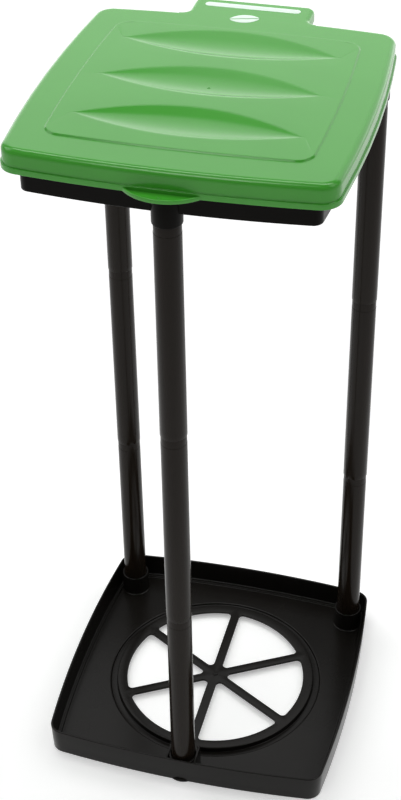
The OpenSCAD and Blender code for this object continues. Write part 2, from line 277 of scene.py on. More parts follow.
def sweep(outline: BowedSquare, profile: np.ndarray, side: int = 50, corner: int = 20) -> np.ndarray:
    """A profile of (inset, z) carried round an outline: row k is the outline moved in by inset k.

    Args:
        outline: The plan.
        profile: Points of the profile.
        side: Steps in half a side.
        corner: Steps in a corner.

    Returns:
        Grid of points, one row for each profile point.
    """
    rows = [np.column_stack([loop, np.full(len(loop), z)])
            for loop, z in ((outline.loop(inset, side, corner), z) for inset, z in profile)]
    return np.stack(rows)


def at_height(loop: np.ndarray, z: float) -> np.ndarray:
    """A plan line lifted to a height."""
    return np.column_stack([loop, np.full(len(loop), z)])


def circle(r: float, steps: int) -> np.ndarray:
    """A circle about the origin, anticlockwise from the +X side."""
    return arc((0, 0), r, 0, 360, steps)[:-1]


def prism(surface: Surface, plan: np.ndarray, low: float, high: float, edge: float,
          to_space: Callable[[np.ndarray, np.ndarray, np.ndarray], np.ndarray]) -> None:
    """Adds a plate of a plan's shape with its two rims rounded: rings of the plan, moved inwards as
    a quarter circle of radius edge, then fans to a middle line.

    Args:
        surface: The surface that grows.
        plan: Closed line, anticlockwise, of a shape that its centre sees whole.
        low: Height of one face.
        high: Height of the other.
        edge: Radius of the rims.
        to_space: Turns (u, v, height) arrays into points.
    """
    ahead, behind = np.roll(plan, -1, 0) - plan, plan - np.roll(plan, 1, 0)
    ahead /= np.linalg.norm(ahead, axis=1)[:, None] + 1e-12
    behind /= np.linalg.norm(behind, axis=1)[:, None] + 1e-12
    way = ahead + behind
    way /= np.linalg.norm(way, axis=1)[:, None] + 1e-12
    inward = np.column_stack([-way[:, 1], way[:, 0]])
    middle = plan.mean(0)
    rings = [(None, low)]
    for a in np.radians(np.linspace(-90, 0, 4)):
        rings.append((edge * (1 - math.cos(a)), low + edge * (1 + math.sin(a))))
    for a in np.radians(np.linspace(0, 90, 4)):
        rings.append((edge * (1 - math.cos(a)), high - edge * (1 - math.sin(a))))
    rings.append((None, high))
    rows = []
    for inset, z in rings:
        line = np.broadcast_to(middle, plan.shape) if inset is None else plan + inward * inset
        rows.append(to_space(line[:, 0], line[:, 1], np.full(len(line), z)))
    surface.grid(np.stack(rows), around=True)


def flat_space(u: np.ndarray, v: np.ndarray, w: np.ndarray) -> np.ndarray:
    """(u, v, height) as (x, y, z)."""
    return np.column_stack([u, v, w])


def side_space(u: np.ndarray, v: np.ndarray, w: np.ndarray) -> np.ndarray:
    """(u, v, height) as (y, z, x), for plates that stand across the hinge's axis."""
    return np.column_stack([w, u, v])


# ---------------------------------------------------------------- finishes


@dataclass(frozen=True)
class Moulding:
    """A moulded plastic's finish.

    Attributes:
        slot: Slot in the part's record.
        colour: Colour of the plastic.
        tint: Second colour, which mottles it faintly.
        gloss: Roughness of the smooth skin.
        gloss_spread: How much the roughness varies.
        grain_mm: Size of the fine texture.
        grain: Strength of the fine texture.
        flow_mm: Size of the slow waves that moulding leaves.
        flow: Strength of those waves.
        along: How much the waves stretch along Z.
        specular: Strength of the reflection.
    """

    slot: str
    colour: tuple[float, float, float]
    tint: tuple[float, float, float]
    gloss: float = 0.3
    gloss_spread: float = 0.05
    grain_mm: float = 0.6
    grain: float = 0.05
    flow_mm: float = 40.0
    flow: float = 0.03
    along: float = 1.0
    specular: float = 0.5

    def material(self) -> bpy.types.Material:
        """Builds the finish as nodes on object coordinates, or returns it if it is there already."""
        known = bpy.data.materials.get(self.slot)
        if known is not None and known.get("finished"):
            return known
        mat = bpy.data.materials.new(self.slot)
        mat["finished"] = True
        mat.use_nodes = True
        tree = mat.node_tree
        shader = tree.nodes["Principled BSDF"]
        shader.inputs["Specular IOR Level"].default_value = self.specular
        where = tree.nodes.new("ShaderNodeTexCoord")
        scale = tree.nodes.new("ShaderNodeMapping")
        scale.inputs["Scale"].default_value = (1, 1, 1 / self.along)
        tree.links.new(where.outputs["Object"], scale.inputs["Vector"])
        slow = self.noise(tree, scale, self.flow_mm, 3.0)
        fine = self.noise(tree, scale, self.grain_mm, 2.0)
        mix = tree.nodes.new("ShaderNodeMix")
        mix.data_type = "RGBA"
        mix.inputs["A"].default_value = (*self.colour, 1)
        mix.inputs["B"].default_value = (*self.tint, 1)
        tree.links.new(slow.outputs["Fac"], mix.inputs["Factor"])
        tree.links.new(mix.outputs["Result"], shader.inputs["Base Color"])
        rough = tree.nodes.new("ShaderNodeMapRange")
        rough.inputs["To Min"].default_value = self.gloss - self.gloss_spread
        rough.inputs["To Max"].default_value = self.gloss + self.gloss_spread
        tree.links.new(fine.outputs["Fac"], rough.inputs["Value"])
        tree.links.new(rough.outputs["Result"], shader.inputs["Roughness"])
        waves = self.bump(tree, slow, self.flow, self.flow_mm * 0.02)
        skin = self.bump(tree, fine, self.grain, self.grain_mm * 0.1)
        tree.links.new(waves.outputs["Normal"], skin.inputs["Normal"])
        tree.links.new(skin.outputs["Normal"], shader.inputs["Normal"])
        return mat

    @staticmethod
    def noise(tree: bpy.types.NodeTree, scale: bpy.types.Node, size_mm: float,
              detail: float) -> bpy.types.Node:
        """A noise whose lumps are size_mm across."""
        node = tree.nodes.new("ShaderNodeTexNoise")
        node.inputs["Scale"].default_value = 1 / (size_mm * MM)
        node.inputs["Detail"].default_value = detail
        tree.links.new(scale.outputs["Vector"], node.inputs["Vector"])
        return node

    @staticmethod
    def bump(tree: bpy.types.NodeTree, height: bpy.types.Node, strength: float,
             depth_mm: float) -> bpy.types.Node:
        """A bump of depth_mm driven by a noise."""
        node = tree.nodes.new("ShaderNodeBump")
        node.inputs["Strength"].default_value = strength
        node.inputs["Distance"].default_value = depth_mm * MM
        tree.links.new(height.outputs["Fac"], node.inputs["Height"])
        return node


BASE_BLACK = Moulding("base_black", (0.005, 0.0043, 0.0036), (0.01, 0.0088, 0.0076), gloss=0.23, specular=0.17)
FRAME_BLACK = Moulding("frame_black", (0.003, 0.0026, 0.002), (0.005, 0.0044, 0.0036), gloss=0.3, specular=0.05)
TUBE_BLACK = Moulding("tube_black", (0.0075, 0.0048, 0.0028), (0.013, 0.009, 0.006), gloss=0.2, along=12.0,
                      specular=0.15)
LID_GREEN = Moulding("lid_green", (0.042, 0.295, 0.021), (0.05, 0.325, 0.027), gloss=0.18, flow_mm=55.0,
                     specular=0.46)
PIN_STEEL = Moulding("pin_steel", (0.55, 0.56, 0.57), (0.48, 0.49, 0.5), gloss=0.3, grain_mm=0.3)
MARK_WHITE = Moulding("mark_white", (0.62, 0.78, 0.66), (0.7, 0.85, 0.73), gloss=0.4, grain=0.02, flow_mm=8.0)


def dress(obj: bpy.types.Object, finish: Moulding, body: str, *nodes: str) -> None:
    """Gives a piece its finish, the body it rides on and the nodes it stands for.

    Args:
        obj: The piece.
        finish: Its finish.
        body: The body that carries it.
        nodes: The frame's nodes that it replaces.
    """
    obj.data.materials.clear()
    obj.data.materials.append(finish.material())
    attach(obj, body)
    if nodes:
        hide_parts(*nodes)


# ---------------------------------------------------------------- base tray


@dataclass
class Grille:
    """The raised wheel in the middle of the tray: a rim and spokes with openings between them."""

    rim_r: float = 121.6
    opening_r: float = 109.0
    spokes: int = 6
    spoke_w: float = 11.0
    corner_r: float = 5.0
    top: float = 8.8
    thick: float = 2.5
    edge: float = 0.8
    around: int = 480
    inner_r: float = 118.5
    tip_steps: int = 6
    side_steps: int = 30
    corner_steps: int = 8

    def opening(self, out: float, turn: float) -> np.ndarray:
        """Outline of one opening, `out` larger all round: tip arc, side, corner arc, rim arc and back.

        Args:
            out: How far the outline is moved outwards.
            turn: Direction of the opening's middle in degrees.

        Returns:
            Closed line of points, anticlockwise, that starts at the tip.
        """
        half = 180 / self.spokes
        off = self.spoke_w / 2 + self.corner_r
        far = self.opening_r - self.corner_r
        swing = half - math.degrees(math.asin(off / far))
        tip = (off / math.sin(math.radians(half)), 0.0)
        corner = (far * math.cos(math.radians(swing)), far * math.sin(math.radians(swing)))
        r = self.corner_r + out
        rim_steps = self.around // self.spokes - self.corner_steps
        at_tip = arc(tip, r, 180, 270 - half, self.tip_steps)
        at_corner = arc((corner[0], -corner[1]), r, -90 - half, -swing, self.corner_steps)
        lower = np.vstack([at_tip, self.between(at_tip[-1], at_corner[0], self.side_steps), at_corner])
        rim = arc((0, 0), self.opening_r + out, -swing, swing, rim_steps)[1:-1]
        upper = lower[:0:-1] * [1, -1]
        a = math.radians(turn)
        spin = np.array([[math.cos(a), math.sin(a)], [-math.sin(a), math.cos(a)]])
        return np.vstack([lower, rim, upper]) @ spin

    @staticmethod
    def between(a: np.ndarray, b: np.ndarray, steps: int) -> np.ndarray:
        """Evenly spaced points between two points, ends left out."""
        t = np.linspace(0, 1, steps + 1)[1:-1, None]
        return a + (b - a) * t

    def wedge(self, turn: float, r: float) -> np.ndarray:
        """Edge of the opening's share of the wheel, with as many points as the opening's outline."""
        half = 180 / self.spokes
        lead = self.tip_steps + self.side_steps + self.corner_steps // 2
        rim_steps = self.around // self.spokes
        radial = np.linspace(0, 1, lead + 1)[:, None] * np.array(
            [r * math.cos(math.radians(turn - half)), r * math.sin(math.radians(turn - half))])
        back = np.linspace(1, 0, lead + 1)[:, None] * np.array(
            [r * math.cos(math.radians(turn + half)), r * math.sin(math.radians(turn + half))])
        rim = arc((0, 0), r, turn - half, turn + half, rim_steps)
        return np.vstack([radial[:-1], rim, back[1:-1]])

    def add_to(self, surface: Surface) -> None:
        """Adds the wheel's two faces and the walls of its openings."""
        bottom = self.top - self.thick
        for k in range(self.spokes):
            turn = 90 + (k + 0.5) * 360 / self.spokes
            wedge = self.wedge(turn, self.inner_r)
            rings = [at_height(wedge, self.top)]
            for a in np.radians(np.linspace(90, 0, 5)):
                rings.append(at_height(self.opening(self.edge * (1 - math.cos(a)), turn),
                                       self.top - self.edge * (1 - math.sin(a))))
            rings.append(at_height(self.opening(0, turn), bottom))
            rings.append(at_height(wedge, bottom))
            surface.grid(np.stack(rings), around=True)


@dataclass
class BaseTray:
    """The square tray, its grille and the three sockets, as one swept shell and closed rings."""

    outline: BowedSquare = BowedSquare(172, 169, 10.6, 18)
    height: float = 35.0
    floor_z: float = 4.5
    under_z: float = 2.2
    wall: float = 2.5
    draft: float = 1.5
    floor_inset: float = 11.0
    ledge_z: float = 6.3
    ledge_inset: float = 8.2
    moat_r: float = 129.4
    moat_z: float = 2.3
    bore_r: float = 14.4
    socket_top: float = 31.0
    collar_r: float = 16.8
    collar_foot_r: float = 19.2
    boss_r: float = 17.4
    boss_neck_r: float = 16.7
    boss_foot_r: float = 18.9
    rib_xs: tuple[float, float] = (-17.6, 15.2)
    rib_w: float = 2.4
    rib_front: float = -166.0
    rib_rear: float = -139.0
    gate_r: float = 3.6
    grille: Grille = field(default_factory=Grille)

    def shell(self) -> bpy.types.Object:
        """Sweeps the tray's section round its outline, and joins it to the moat and the grille."""
        g, w = self.grille, self.wall
        section = filleted([
            (self.floor_inset, self.under_z, 0), (self.draft + w, self.under_z, 0.5),
            (self.draft + w, 0, 0.5), (self.draft, 0, 1.0), (0, self.height, 1.0),
            (w, self.height, 1.0), (w + self.draft - 0.1, self.ledge_z, 1.6),
            (self.ledge_inset, self.ledge_z, 0.5), (self.ledge_inset + 0.9, self.floor_z, 0.7),
            (self.floor_inset, self.floor_z, 0)], closed=False, steps=6)
        surface = Surface().grid(sweep(self.outline, section), around=True)
        circle_r = self.moat_r + 2
        surface.band(at_height(self.outline.loop(self.floor_inset), self.floor_z),
                     at_height(circle(circle_r, g.around), self.floor_z), 2)
        moat = filleted([
            (circle_r, self.floor_z, 0), (self.moat_r, self.floor_z, 1.6), (self.moat_r, self.moat_z, 0.8),
            (g.rim_r, self.moat_z, 0.8), (g.rim_r, g.top, 1.3), (g.inner_r, g.top, 0)], closed=False)
        surface.grid(lathe(moat, (0, 0), g.around, closed=False), around=True)
        under = filleted([
            (g.inner_r, g.top - g.thick, 0), (g.inner_r + 0.6, g.top - g.thick, 0.4),
            (g.inner_r + 0.6, 0, 0.4), (self.moat_r + w, 0, 0.4), (self.moat_r + w, self.under_z, 0)],
            closed=False)
        surface.grid(lathe(under, (0, 0), g.around, closed=False), around=True)
        surface.band(at_height(circle(self.moat_r + w, g.around), self.under_z),
                     at_height(self.outline.loop(self.floor_inset), self.under_z), 2)
        g.add_to(surface)
        return surface.build("base_shell")

    def sockets(self) -> bpy.types.Object:
        """Turns the rear collars, the front boss and the gate mark on the hub, and adds the boss's ribs."""
        surface, top, foot = Surface(), self.socket_top, self.floor_z - 0.05
        collar = filleted([
            (self.bore_r, 3, 0), (self.bore_r, top, 0.6), (self.collar_r, top, 0.8), (self.collar_r, foot, 1.8),
            (self.collar_foot_r, foot, 0), (self.collar_foot_r, 3, 0)], closed=True)
        boss = filleted([
            (self.bore_r, 0.3, 0), (self.bore_r, top, 0.6), (self.boss_r, top, 0.8), (self.boss_neck_r, 2.6, 0),
            (self.boss_foot_r, 2.2, 0.6), (self.boss_foot_r, 0, 0.5), (15, 0, 0)], closed=True)
        for leg in Leg:
            profile = boss if leg is Leg.FRONT else collar
            surface.grid(lathe(profile, LegStack.axis(leg), 96), around=True)
        for x in self.rib_xs:
            plan = np.array([(x, self.rib_front), (x + self.rib_w, self.rib_front),
                             (x + self.rib_w, self.rib_rear), (x, self.rib_rear)])
            prism(surface, plan, self.floor_z - 1, self.height - 2, 0.5, flat_space)
        hub, r = self.grille.top, self.gate_r
        gate = filleted([(0, hub - 0.2, 0), (r, hub - 0.2, 0), (r - 0.4, hub + 0.7, 0.3),
                         (r - 1.6, hub + 0.7, 0.3), (r - 2.0, hub + 0.2, 0), (0, hub + 0.2, 0)],
                        closed=True, steps=3)
        surface.grid(lathe(gate, (0, 0), 32), around=True)
        return surface.build("base_sockets")

    def make(self) -> None:
        """Builds and dresses the tray's pieces."""
        dress(self.shell(), BASE_BLACK, "base", "base_tray")
        dress(self.sockets(), BASE_BLACK, "base", "base_tray")


# ---------------------------------------------------------------- legs


@dataclass
class Tube:
    """One plug-together tube: bore at the foot, slim neck, spigot on top."""

    foot_z: float
    shoulder_z: float
    foot_r: float = 14.1
    top_r: float = 13.7
    wall: float = 2.0
    neck_h: float = 10.0
    neck_step: float = 0.22
    spigot_l: float = 32.0
    gap: float = 0.3

    def profile(self) -> np.ndarray:
        """Closed (radius, z) line of the tube, foot to spigot and down the bore."""
        bore = self.foot_r - self.wall
        spigot = bore - self.gap
        neck, neck_z = self.top_r - self.neck_step, self.shoulder_z - self.neck_h
        tip = self.shoulder_z + self.spigot_l
        return filleted([
            (bore, self.foot_z, 0.3), (self.foot_r, self.foot_z, 0.5), (self.foot_r - 0.02, self.foot_z + 6, 0),
            (self.top_r, neck_z, 0.3), (neck, neck_z + self.neck_step, 0.3), (neck, self.shoulder_z, 0.4),
            (spigot, self.shoulder_z, 0), (spigot, tip, 1.0), (spigot - self.wall, tip, 0.4),
            (spigot - self.wall, neck_z, 0), (bore, self.foot_z + self.spigot_l + self.neck_h, 0)],
            closed=True, steps=4)


@dataclass
class LegStack:
    """The three legs: a lower, a middle and an upper tube each."""

    levels: tuple[tuple[str, float, float], ...] = (
        ("lower", 4.5, 252.0), ("middle", 252.0, 503.0), ("upper", 503.0, 748.0))

    @staticmethod
    def axis(leg: Leg) -> tuple[float, float]:
        """Where a leg stands, in millimetres, from its lower tube's box."""
        low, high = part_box(f"lower_tube_{leg.value}")
        return (low[0] + high[0]) / 2 / MM, (low[1] + high[1]) / 2 / MM

    def make(self) -> None:
        """Builds and dresses the nine tubes."""
        for level, foot_z, shoulder_z in self.levels:
            for leg in Leg:
                turned = lathe(Tube(foot_z, shoulder_z).profile(), self.axis(leg), 96)
                piece = Surface().grid(turned, around=True).build(f"{level}_{leg.value}")
                dress(piece, TUBE_BLACK, f"{level}_legs", f"{level}_tube_{leg.value}")


# ---------------------------------------------------------------- top frame


@dataclass
class TopFrame:
    """The ring band with its bead, the three leg sockets, the hinge arms and the pin."""

    outline: BowedSquare = BowedSquare(150, 158, 9, 10)
    low: float = 761.0
    high: float = 797.0
    wall: float = 2.5
    bead_w: float = 2.0
    bead_h: float = 3.0
    socket_r: float = 15.0
    socket_bore: float = 12.1
    socket_low: float = 748.0
    socket_high: float = 783.5
    hinge: tuple[float, float] = (190.0, 792.0)
    arm_x: float = 34.0
    arm_w: float = 11.6
    arm_root: float = 155.6
    arm_root_low: float = 763.5
    arm_bend: float = 181.5
    arm_low: float = 777.0
    arm_high: float = 783.8
    knuckle_r: float = 6.0
    pin_r: float = 2.5
    pin_half: float = 55.0

    def ring(self) -> bpy.types.Object:
        """Sweeps the band's section round its outline and adds sockets and arms as closed solids."""
        section = filleted([
            (0, self.low, 0.8), (0, self.high - self.bead_h, 0.6), (-self.bead_w, self.high - self.bead_h, 0.6),
            (-self.bead_w, self.high, 0.9), (self.wall, self.high, 0.9), (self.wall, self.low, 0.8)], closed=True)
        surface = Surface().grid(sweep(self.outline, section), around=True, along=True)
        cap = self.socket_high - 2
        socket = filleted([
            (self.socket_bore, self.socket_low, 0.4), (self.socket_r, self.socket_low, 0.9),
            (self.socket_r, self.socket_high, 1.2), (0, self.socket_high, 0), (0, cap, 0),
            (self.socket_bore, cap, 0)], closed=True)
        for leg in Leg:
            surface.grid(lathe(socket, LegStack.axis(leg), 96), around=True)
        y, z = self.hinge
        plans = (
            np.array([(self.arm_root, self.arm_root_low), (self.arm_bend, self.arm_low), (y - 1, self.arm_low),
                      (y - 1, self.arm_high), (self.arm_root, self.arm_high)]),
            np.array([(y - 6, self.arm_low + 1), (y - 1, self.arm_low + 1), (y - 1, z), (y - 6, z)]),
            arc(self.hinge, self.knuckle_r, 0, 360, 48)[:-1],
        )
        for start in (self.arm_x, -self.arm_x - self.arm_w):
            for plan in plans:
                prism(surface, plan, start, start + self.arm_w, 0.5, side_space)
        return surface.build("ring_frame")

    def pin(self) -> bpy.types.Object:
        """Turns the pin about the hinge's axis, with chamfered ends."""
        y, z = self.hinge
        profile = filleted([(0, -self.pin_half, 0), (self.pin_r, -self.pin_half, 0.5),
                            (self.pin_r, self.pin_half, 0.5), (0, self.pin_half, 0)], closed=False)
        turned = lathe(profile, (0, 0), 48, closed=False)
        grid = np.stack([turned[..., 2], y + turned[..., 0], z + turned[..., 1]], -1)
        return Surface().grid(grid, around=True).build("hinge_rod")

    def make(self) -> None:
        """Builds and dresses the frame and its pin."""
        dress(self.ring(), FRAME_BLACK, "frame", "top_frame")
        dress(self.pin(), PIN_STEEL, "frame", "hinge_pin")


# ---------------------------------------------------------------- lid


@dataclass
class Lid:
    """The lid: flanged rim, flat top with a raised panel and lens-shaped recesses, hood, lugs and tab."""

    outline: BowedSquare = BowedSquare(166.5, 169, 9.3, 21)
    panel: BowedSquare = BowedSquare(131, 130, 4.5, 18)
    panel_y: float = 2.0
    low: float = 784.6
    flange_h: float = 6.0
    flange_step: float = 1.6
    wall: float = 2.2
    top: float = 808.5
    rise: float = 1.6
    rim_in: float = 9.0
    shoulder_r: float = 6.5
    half_corner: int = 8
    columns: int = 150
    patch_x: float = 112.0
    patch_front: float = -109.0
    patch_rear: float = 127.6
    recess_half: float = 109.0
    recess_rear: float = 36.0
    recess_front: float = 23.0
    recess_d: float = 6.6
    recess_ys: tuple[float, ...] = (-80.0, 4.0, 88.0)
    recess_steps: tuple[int, ...] = (3, 5, 22, 5)
    lip: float = 2.0
    lip_share: float = 0.22
    valley: float = 0.44
    valley_blend: float = 9.0
    hood_half: float = 64.0
    hood_y: float = 205.0
    hood_h: float = 12.0
    hood_corner: float = 9.0
    hood_root: float = 8.0
    hood_edge: float = 5.0
    lug_xs: tuple[float, float] = (46.0, -54.0)
    lug_w: float = 8.0
    lug_r: float = 6.0
    skirt_y: float = 165.7
    hinge: tuple[float, float] = (190.0, 792.0)
    tab_half: float = 36.5
    tab_out: float = 15.0
    tab_gate_y: float = -176.6

    def fitted(self, plan: BowedSquare, inset: float, rows: np.ndarray, cols: np.ndarray) -> np.ndarray:
        """An outline moved inwards, its points shared out so that they face the patch's border.

        Args:
            plan: The outline.
            inset: How far it is moved inwards.
            rows: Places along the right and left sides from -1 to 1.
            cols: Places along the front and rear sides from -1 to 1.

        Returns:
            Closed line, anticlockwise from the middle of the corner at +X, -Y.
        """
        side_c, side_r, end_c, end_r, corner_c = plan.arcs()
        a = math.atan2(*(corner_c - side_c)[::-1])
        b = math.atan2(*(corner_c - end_c)[::-1])
        right = side_c + (side_r - inset) * np.column_stack([np.cos(rows * a), np.sin(rows * a)])
        swing = math.pi / 2 - (math.pi / 2 - b) * cols
        front = (end_c + (end_r - inset) * np.column_stack([np.cos(swing), np.sin(swing)])) * [1, -1]
        corner = arc(tuple(corner_c), plan.corner_r - inset, math.degrees(a), math.degrees(b),
                     2 * self.half_corner)[1:-1]
        parts = [right, corner, front[::-1] * [1, -1], corner[::-1] * [-1, 1], right[::-1] * [-1, 1],
                 -corner, front, corner[::-1] * [1, -1]]
        return np.roll(np.vstack(parts), self.half_corner, axis=0)

    def edges(self, x: np.ndarray) -> tuple[np.ndarray, np.ndarray]:
        """How far a recess's front and rear edges bulge from its tip line at x, as arcs."""
        s = np.clip(1 - (x / self.recess_half) ** 2, 0, 1)
        return np.maximum(self.recess_front * s, 0.5), np.maximum(self.recess_rear * s, 0.7)

    def patch(self) -> np.ndarray:
        """Rows that follow the recesses' edges, columns evenly spread: straight steps between knot lines."""
        x = np.linspace(-self.patch_x, self.patch_x, self.columns + 1)
        front, rear = self.edges(x)
        lip = np.minimum(self.lip, self.lip_share * (front + rear))
        last = self.patch_rear - 3.2 * (x / self.patch_x) ** 2
        knots, steps = [np.full_like(x, self.patch_front)], []
        for y in self.recess_ys:
            knots += [y - front - lip, y - front + lip, y + rear - lip, y + rear + lip]
            steps += self.recess_steps
        knots.append(last)
        steps.append(2)
        rows = [knots[0][None]]
        for a, b, n in zip(knots[:-1], knots[1:], steps):
            rows.append(a + (b - a) * np.linspace(0, 1, n + 1)[1:, None])
        y = np.vstack(rows)
        return np.stack([np.broadcast_to(x, y.shape), y], -1)

    def depth(self, x: np.ndarray, y: np.ndarray) -> np.ndarray:
        """Depth of the recesses, from a steep slope at the front edge and a long one at the rear.

        Each slope starts as a parabola over the lip, and the two meet in a fillet that narrows
        with the recess towards its tips.

        Args:
            x: X of each point.
            y: Y of each point.

        Returns:
            Depths below the panel, 0 outside the recesses.
        """
        front, rear = self.edges(x)
        width, full = front + rear, self.recess_front + self.recess_rear
        lip = np.minimum(self.lip, self.lip_share * width)
        blend = self.valley_blend * width / full
        total = np.zeros_like(y)
        for tip in self.recess_ys:
            sides = []
            for reach, share in ((y - (tip - front), self.valley), ((tip + rear) - y, 1 - self.valley)):
                run = np.where(reach > lip, reach, np.clip(reach + lip, 0, None) ** 2 / (4 * lip))
                sides.append(run * self.recess_d / (share * full))
            mix = np.clip(blend - np.abs(sides[0] - sides[1]), 0, None) / blend
            total += np.clip(np.minimum(*sides) - mix**2 * blend / 4, 0, None)
        return total

    def shell(self) -> bpy.types.Object:
        """Sweeps the rim, steps up to the panel and closes the top and the ceiling with the patch."""
        flat = self.patch()
        sunk = self.depth(flat[..., 0], flat[..., 1])
        top = np.dstack([flat, self.top + self.rise - sunk])
        ceiling_z = self.top - self.wall
        under = np.dstack([flat, np.minimum(ceiling_z, top[..., 2] - self.wall)])
        h = self.half_corner
        ys, xs = flat[h:-h, -1, 1], flat[0, h:-h, 0]
        rows = 2 * (ys - ys[0]) / (ys[-1] - ys[0]) - 1
        cols = 2 * (xs - xs[0]) / (xs[-1] - xs[0]) - 1
        inner = self.flange_step + self.wall
        rim = filleted([
            (self.rim_in, self.top, 0), (self.flange_step, self.top, self.shoulder_r),
            (self.flange_step, self.low + self.flange_h, 0.35), (0, self.low + self.flange_h, 0.6),
            (0, self.low, 0.7), (inner, self.low, 0.6), (inner, ceiling_z, self.shoulder_r - self.wall),
            (self.rim_in, ceiling_z, 0)], closed=False, steps=8)
        surface = Surface()
        skirt = np.stack([at_height(self.fitted(self.outline, i, rows, cols), z) for i, z in rim])
        surface.grid(skirt, around=True)
        step = filleted([(-1, self.top, 0), (0, self.top, 0.6), (self.rise, self.top + self.rise, 0.9),
                         (3.2, self.top + self.rise, 0)], closed=False)
        lift = np.stack([at_height(self.fitted(self.panel, i, rows, cols) + [0, self.panel_y], z)
                         for i, z in step])
        surface.grid(lift, around=True)
        surface.band(at_height(self.fitted(self.outline, self.rim_in, rows, cols), self.top), lift[0], 2)
        surface.band(lift[-1], self.border(top), 1)
        surface.grid(top).grid(under)
        surface.band(self.border(under),
                     at_height(self.fitted(self.outline, self.rim_in, rows, cols), ceiling_z), 2)
        return surface.build("lid_shell", sharp=50)

    @staticmethod
    def border(grid: np.ndarray) -> np.ndarray:
        """The border of a grid, anticlockwise from its corner at +X, -Y."""
        return np.vstack([grid[:-1, -1], grid[-1, :0:-1], grid[:0:-1, 0], grid[0, :-1]])

    def hood_path(self, inset: float) -> np.ndarray:
        """Plan of the hood's wall moved inwards: root fillet, side, corner and back, then mirrored."""
        r, x, y = self.hood_root, self.hood_half, self.skirt_y
        c = self.hood_corner
        half = np.vstack([
            arc((x + r, y + r), r + inset, 270, 180, 10),
            np.column_stack([np.full(9, x - inset), np.linspace(y + r, self.hood_y - c, 11)[1:-1]]),
            arc((x - c, self.hood_y - c), c - inset, 0, 90, 10),
            np.column_stack([np.linspace(x - c, 0, 12)[1:], np.full(11, self.hood_y - inset)]),
        ])
        return np.vstack([half, half[-2::-1] * [-1, 1]])

    def hood(self) -> bpy.types.Object:
        """Carries the hood's section along its plan; the top closes on a line down its middle."""
        top, low = self.top - 0.02, self.top - self.hood_h
        surface, skins = Surface(), []
        for wall, high in ((0.0, top), (self.wall, top - self.wall)):
            section = filleted([(wall, low, 0), (wall, high, self.hood_edge - wall), (6, high, 0)],
                               closed=False, steps=7)
            rows = [at_height(self.hood_path(i), z) for i, z in section]
            ridge = rows[-1].copy()
            ridge[:, 0] = 0
            ridge[:, 1] = np.minimum(ridge[:, 1], self.hood_y - 20)
            skins.append(np.stack(rows + [ridge]))
            surface.grid(skins[-1])
        outer, inner = skins
        surface.grid(np.stack([outer[0], inner[0]]))
        surface.grid(np.stack([outer[:, 0], inner[:, 0]]))
        surface.grid(np.stack([outer[:, -1], inner[:, -1]]))
        y, z = self.hinge
        r, high = self.lug_r, self.top - 1
        block = np.array([(y - r, z), (y + r, z), (y + r, high), (y - r, high)])
        for start in self.lug_xs:
            for plan in (block, arc(self.hinge, r, 0, 360, 48)[:-1]):
                prism(surface, plan, start, start + self.lug_w, 0.4, side_space)
        return surface.build("lid_hood")

    def tab(self) -> bpy.types.Object:
        """A crescent: its section, with a thin raised rim, is carried round the tab's own arc.

        The lid's two gate marks, on the tab and in the middle recess, belong to the same piece.
        """
        reach = self.tab_out + 0.8
        r = (self.tab_half**2 + reach**2) / (2 * reach)
        centre = -(self.outline.half_y + self.tab_out) + r
        root = -(self.outline.half_y - 3.2) - centre
        floor, rim = self.low + 2.4, self.low + 4.0
        section = filleted([(9, self.low, 0), (0, self.low, 0.7), (0, rim, 0.8), (2.1, rim, 0.7),
                            (2.5, floor, 0.7), (9, floor, 0)], closed=False, steps=4)
        a = np.radians(np.linspace(-1, 1, 81) * math.degrees(math.asin(self.tab_half / r)))
        inset = np.where(section[:, :1] > 8, r + root / np.cos(a), section[:, :1])
        grid = np.stack([(r - inset) * np.sin(a), centre - (r - inset) * np.cos(a),
                         np.broadcast_to(section[:, 1:], inset.shape)], -1)
        surface = Surface().grid(grid, along=True)
        for end in (grid[:, 0], grid[:, -1]):
            surface.grid(np.stack([end, np.broadcast_to(end.mean(0), end.shape)]), around=True)
        middle = self.recess_ys[1]
        sunk = float(self.depth(np.zeros(1), np.full(1, middle))[0])
        for y, z in ((self.tab_gate_y, floor), (middle, self.top + self.rise - sunk)):
            crater = filleted([(0, z - 0.6, 0), (2.2, z - 0.6, 0), (1.5, z + 0.35, 0.3), (0.9, z + 0.35, 0.2),
                               (0.6, z - 0.2, 0), (0, z - 0.2, 0)], closed=True, steps=3)
            surface.grid(lathe(crater, (0, y), 24), around=True)
        return surface.build("lid_tab")

    def make(self) -> None:
        """Builds and dresses the lid's pieces."""
        for piece in (self.shell(), self.hood(), self.tab()):
            dress(piece, LID_GREEN, "lid", "lid")


